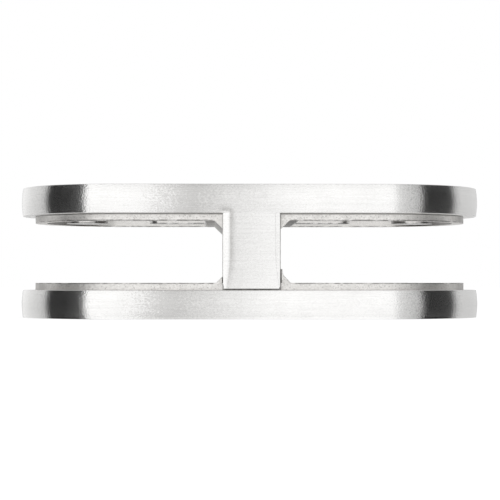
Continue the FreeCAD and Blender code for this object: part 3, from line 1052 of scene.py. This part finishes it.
class CLAMP_OT_castings(bpy.types.Operator):
    """Build the rough-cast beds of both jaws and the core of the web"""

    bl_idname = "clamp.castings"
    bl_label = "Castings"

    def execute(self, context):
        size = sizes()
        sides = jaw_sides()
        seat = size.web_thickness / 2 + size.foot_clearance
        passage_start = 0.5 * MM
        castings = {"jaw": make_jaw_casting(sides["jaw"]), "cover": make_cover_casting(sides["cover"], seat)}
        drills = {
            "jaw": (size.tapped_diameter / 2, size.jaw_thickness - OVERLAP, size.tapped_depth + OVERLAP),
            "cover": (size.passage_diameter / 2, passage_start, PASSAGE_LENGTH),
        }
        for body, (radius, level, depth) in drills.items():
            bm = bmesh.new()
            for place in screw_places().values():
                add_cylinder(bm, (place.x, place.y, level), radius, depth)
            cut_away(castings[body], new_object(bm, "drills"), join=True)
            roughen(castings[body], size.cast_roughness)
        add_lips(castings["cover"], seat, sides["cover"].level(-size.bed_height), half_bed())
        for body, piece in castings.items():
            soften(piece, CAST_ANGLE)
            paint(piece, ("cast_skin", "cored_skin"), lambda polygon: int(in_hollow(polygon.center)))
            hand_over(piece, body, NODES[body])
        return {"FINISHED"}


def make_screw(name, place):
    """Countersunk screw with a hexagon socket and a cut thread."""
    size = sizes()
    total = SCREW_BOX[1].z - SCREW_BOX[0].z
    head = size.head_diameter / 2
    root = size.thread_root / 2
    crest = size.screw_diameter / 2
    pitch = size.thread_pitch
    neck = size.head_rim + head - crest
    neck_end = neck + 0.8 * MM
    thread_start = neck + 1.2 * MM
    root_start = neck + 1.4 * MM
    tip = 0.7 * MM

    bm = bmesh.new()
    profile = [
        (0.0, 0.0), (head, 0.0), (head, size.head_rim), (crest, neck), (crest, neck_end), (root, root_start),
        (root, total - tip), (root - tip, total), (0.0, total),
    ]
    turn_profile(bm, profile, 2 * math.pi, ROUND_SEGMENTS)
    turn_outwards(bm)
    piece = new_object(bm, name)

    bm = bmesh.new()
    bmesh.ops.create_circle(bm, cap_ends=True, segments=6, radius=size.socket_size / math.sqrt(3))
    bmesh.ops.translate(bm, verts=bm.verts, vec=(0, 0, -OVERLAP))
    draw_out(bm, list(bm.faces), (0, 0, OVERLAP + size.socket_depth))
    turn_outwards(bm)
    cut_away(piece, new_object(bm, "hexagon"))

    # The thread is one ridge that climbs round the shank, with its heights in pitches.
    ridge = bmesh.new()
    profile = [(root, 0.0), (crest, 0.4), (crest, 0.55), (root, 0.95), (root, 1.0)]
    profile = [(radius, thread_start + height * pitch) for radius, height in profile]
    turns = (total - tip - thread_start) / pitch - 1.0
    steps = round(turns * THREAD_STEPS)
    turn_profile(ridge, profile, 2 * math.pi * steps / THREAD_STEPS, steps, pitch / THREAD_STEPS)
    with reopened(piece) as bm:
        add_part(bm, ridge)
        bmesh.ops.translate(bm, verts=bm.verts, vec=place)
    return piece


class CLAMP_OT_screws(bpy.types.Operator):
    """Build both screws"""

    bl_idname = "clamp.screws"
    bl_label = "Screws"

    def execute(self, context):
        for side, place in screw_places().items():
            piece = make_screw(f"{side}_screw_piece", place)
            soften(piece)
            paint(piece, ("screw_steel",))
            hand_over(piece, f"{side}_screw", f"screw_{side}", "screw_stainless")
        return {"FINISHED"}


# Brightness of the studio round the clamp, in degrees left of the camera, seen in the steel.
STUDIO_STOPS = [
    (-180.0, 0.62), (-150.0, 0.74), (-106.0, 0.72), (-98.0, 0.56), (-90.0, 0.05), (-72.0, 0.025),
    (-51.5, 0.01), (-47.0, 0.53), (-21.0, 0.85), (-17.5, 1.2), (0.0, 1.22), (41.0, 1.26), (43.5, 0.08),
    (62.0, 0.02), (90.0, 0.015), (97.0, 0.6), (108.0, 0.74), (150.0, 1.0), (179.9, 0.62),
]


def make_studio_world(scene):
    """Soft studio of pale and dark panels round the clamp, with a pale ceiling."""
    world = bpy.data.worlds.new("studio")
    scene.world = world
    world.use_nodes = True
    net = Net(world.node_tree)
    net.tree.nodes.clear()
    parts = net.parts(net.coordinates("Generated"))
    angle = net.math("ARCTAN2", net.times(parts["X"], -1.0), net.times(parts["Y"], -1.0))
    ramp = net.add("ShaderNodeValToRGB", Fac=net.remap(angle, (-math.pi, math.pi)))
    stops = ramp.color_ramp.elements
    while len(stops) < len(STUDIO_STOPS):
        stops.new(0.5)
    brightest = max(level for _, level in STUDIO_STOPS)
    for stop, (degrees, level) in zip(stops, STUDIO_STOPS):
        stop.position = degrees / 360.0 + 0.5
        stop.color = plain((level / brightest,) * 3)
    ceiling_start, ceiling_end = 0.38, 0.55
    ceiling = net.remap(parts["Z"], (ceiling_start, ceiling_end))
    overhead = net.remap(parts["Z"], (ceiling_end, 1.0), (0.42, 0.64))
    above = net.add("ShaderNodeCombineColor", Red=overhead, Green=overhead, Blue=overhead)
    panels = net.mix(ceiling, ramp.outputs["Color"], above.outputs["Color"])
    studio = net.add("ShaderNodeBackground", Color=panels, Strength=brightest)
    white = net.add("ShaderNodeBackground", Color=plain(WHITE), Strength=1.0)
    camera_ray = net.add("ShaderNodeLightPath").outputs["Is Camera Ray"]
    net.add("ShaderNodeOutputWorld", Surface=net.either(camera_ray, studio.outputs[0], white.outputs[0]))


def make_floor(settings):
    """Pale floor that keeps the shadow of the clamp."""
    gap = 0.02 * MM
    bm = bmesh.new()
    bmesh.ops.create_grid(bm, x_segments=1, y_segments=1, size=settings.floor_width / 2)
    bmesh.ops.translate(bm, verts=bm.verts, vec=(0, 0, CAD_BOX[0].z - gap))
    floor = new_object(bm, "studio_floor")
    material, net, place = new_material("studio_floor")
    path = net.add("ShaderNodeLightPath").outputs
    matt = net.add("ShaderNodeBsdfDiffuse", Color=plain(settings.floor_colour))
    glow = net.add("ShaderNodeEmission", Color=plain(WHITE), Strength=1.06)
    # Only the floor near the clamp takes its shadow.
    shadow_reach = (0.1, 0.35)
    away = net.add("ShaderNodeVectorMath", {"operation": "LENGTH"}, {0: place}).outputs["Value"]
    near = net.remap(away, shadow_reach, (settings.floor_shadow, 0.0))
    lit = net.times(path["Is Camera Ray"], net.minus(1.0, near))
    pale = net.either(lit, matt.outputs[0], glow.outputs[0])
    # In the steel the floor shows the panels round it, and seen steeply its own pale grey.
    polish = net.add("ShaderNodeBsdfGlossy", Color=plain((0.96, 0.96, 0.96)), Roughness=0.08)
    facing = net.add("ShaderNodeLayerWeight", Blend=0.5).outputs["Facing"]
    grazing = net.remap(facing, (0.35, 0.6))
    seen = net.most(path["Is Glossy Ray"], path["Is Transmission Ray"])
    mirrored = net.either(net.times(seen, grazing), pale, polish.outputs[0])
    # From below the floor is open, and the steel that touches it looks through it.
    behind = net.add("ShaderNodeNewGeometry").outputs["Backfacing"]
    touch = 1.0 * MM
    touching = net.times(seen, net.math("LESS_THAN", path["Ray Length"], touch))
    clear = net.add("ShaderNodeBsdfTransparent")
    sided = net.either(net.most(behind, touching), mirrored, clear.outputs[0])
    net.add("ShaderNodeOutputMaterial", Surface=sided)
    floor.data.materials.append(material)
    floor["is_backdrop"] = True


def add_facing(name, data, place, target):
    """Lamp or camera at a place, turned to a target."""
    made = bpy.data.objects.new(name, data)
    made.location = place
    made.rotation_euler = (Vector(target) - Vector(place)).to_track_quat("-Z", "Y").to_euler()
    bpy.context.scene.collection.objects.link(made)
    return made


class CLAMP_OT_studio(bpy.types.Operator):
    """Build the floor, the light and the camera"""

    bl_idname = "clamp.studio"
    bl_label = "Studio"

    def execute(self, context):
        scene = context.scene
        settings = scene.clamp_studio
        scene.view_settings.view_transform = "Standard"
        make_studio_world(scene)
        make_floor(settings)
        light = bpy.data.lights.new("overhead_lamp", "AREA")
        light.shape = "SQUARE"
        light.size = settings.lamp_size
        light.energy = settings.lamp_power
        lamp = add_facing("overhead_lamp", light, settings.lamp_place, settings.lamp_target)
        lamp.visible_glossy = False
        data = bpy.data.cameras.new("camera")
        data.lens = settings.lens
        data.sensor_width = 36.0
        data.clip_start = 0.01
        scene.camera = add_facing("camera", data, settings.eye, settings.target)
        return {"FINISHED"}


class CLAMP_PT_panel(bpy.types.Panel):
    """Steps and settings of the glass clamp"""

    bl_idname = "CLAMP_PT_panel"
    bl_label = "Glass clamp"
    bl_space_type = "VIEW_3D"
    bl_region_type = "UI"
    bl_category = "Glass clamp"

    def draw(self, context):
        for step in STEPS:
            self.layout.operator(step.bl_idname)
        for settings, group in SETTINGS.items():
            box = self.layout.box()
            for name in group.__annotations__:
                box.prop(getattr(context.scene, settings), name)


SETTINGS = {"clamp_sizes": ClampSizes, "clamp_finish": ClampFinish, "clamp_studio": StudioSettings}
STEPS = (CLAMP_OT_jaw_shells, CLAMP_OT_web_faces, CLAMP_OT_castings, CLAMP_OT_screws, CLAMP_OT_studio)
CLASSES = (*SETTINGS.values(), *STEPS, CLAMP_PT_panel)


def register():
    """Register the classes and their settings."""
    for cls in CLASSES:
        bpy.utils.register_class(cls)
    for name, group in SETTINGS.items():
        setattr(bpy.types.Scene, name, PointerProperty(type=group))


def unregister():
    """Take the settings and the classes away again."""
    for name in SETTINGS:
        delattr(bpy.types.Scene, name)
    for cls in reversed(CLASSES):
        bpy.utils.unregister_class(cls)


def main():
    """Dress the clamp, set the studio and take the bounds of the model and of the dressed scene."""
    register()
    bpy.ops.clamp.jaw_shells()
    bpy.ops.clamp.web_faces()
    bpy.ops.clamp.castings()
    bpy.ops.clamp.screws()
    bpy.ops.clamp.studio()
    boxes = {"cad": CAD_BOX, "visual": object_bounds()}


if __name__ == "__main__":
    main()
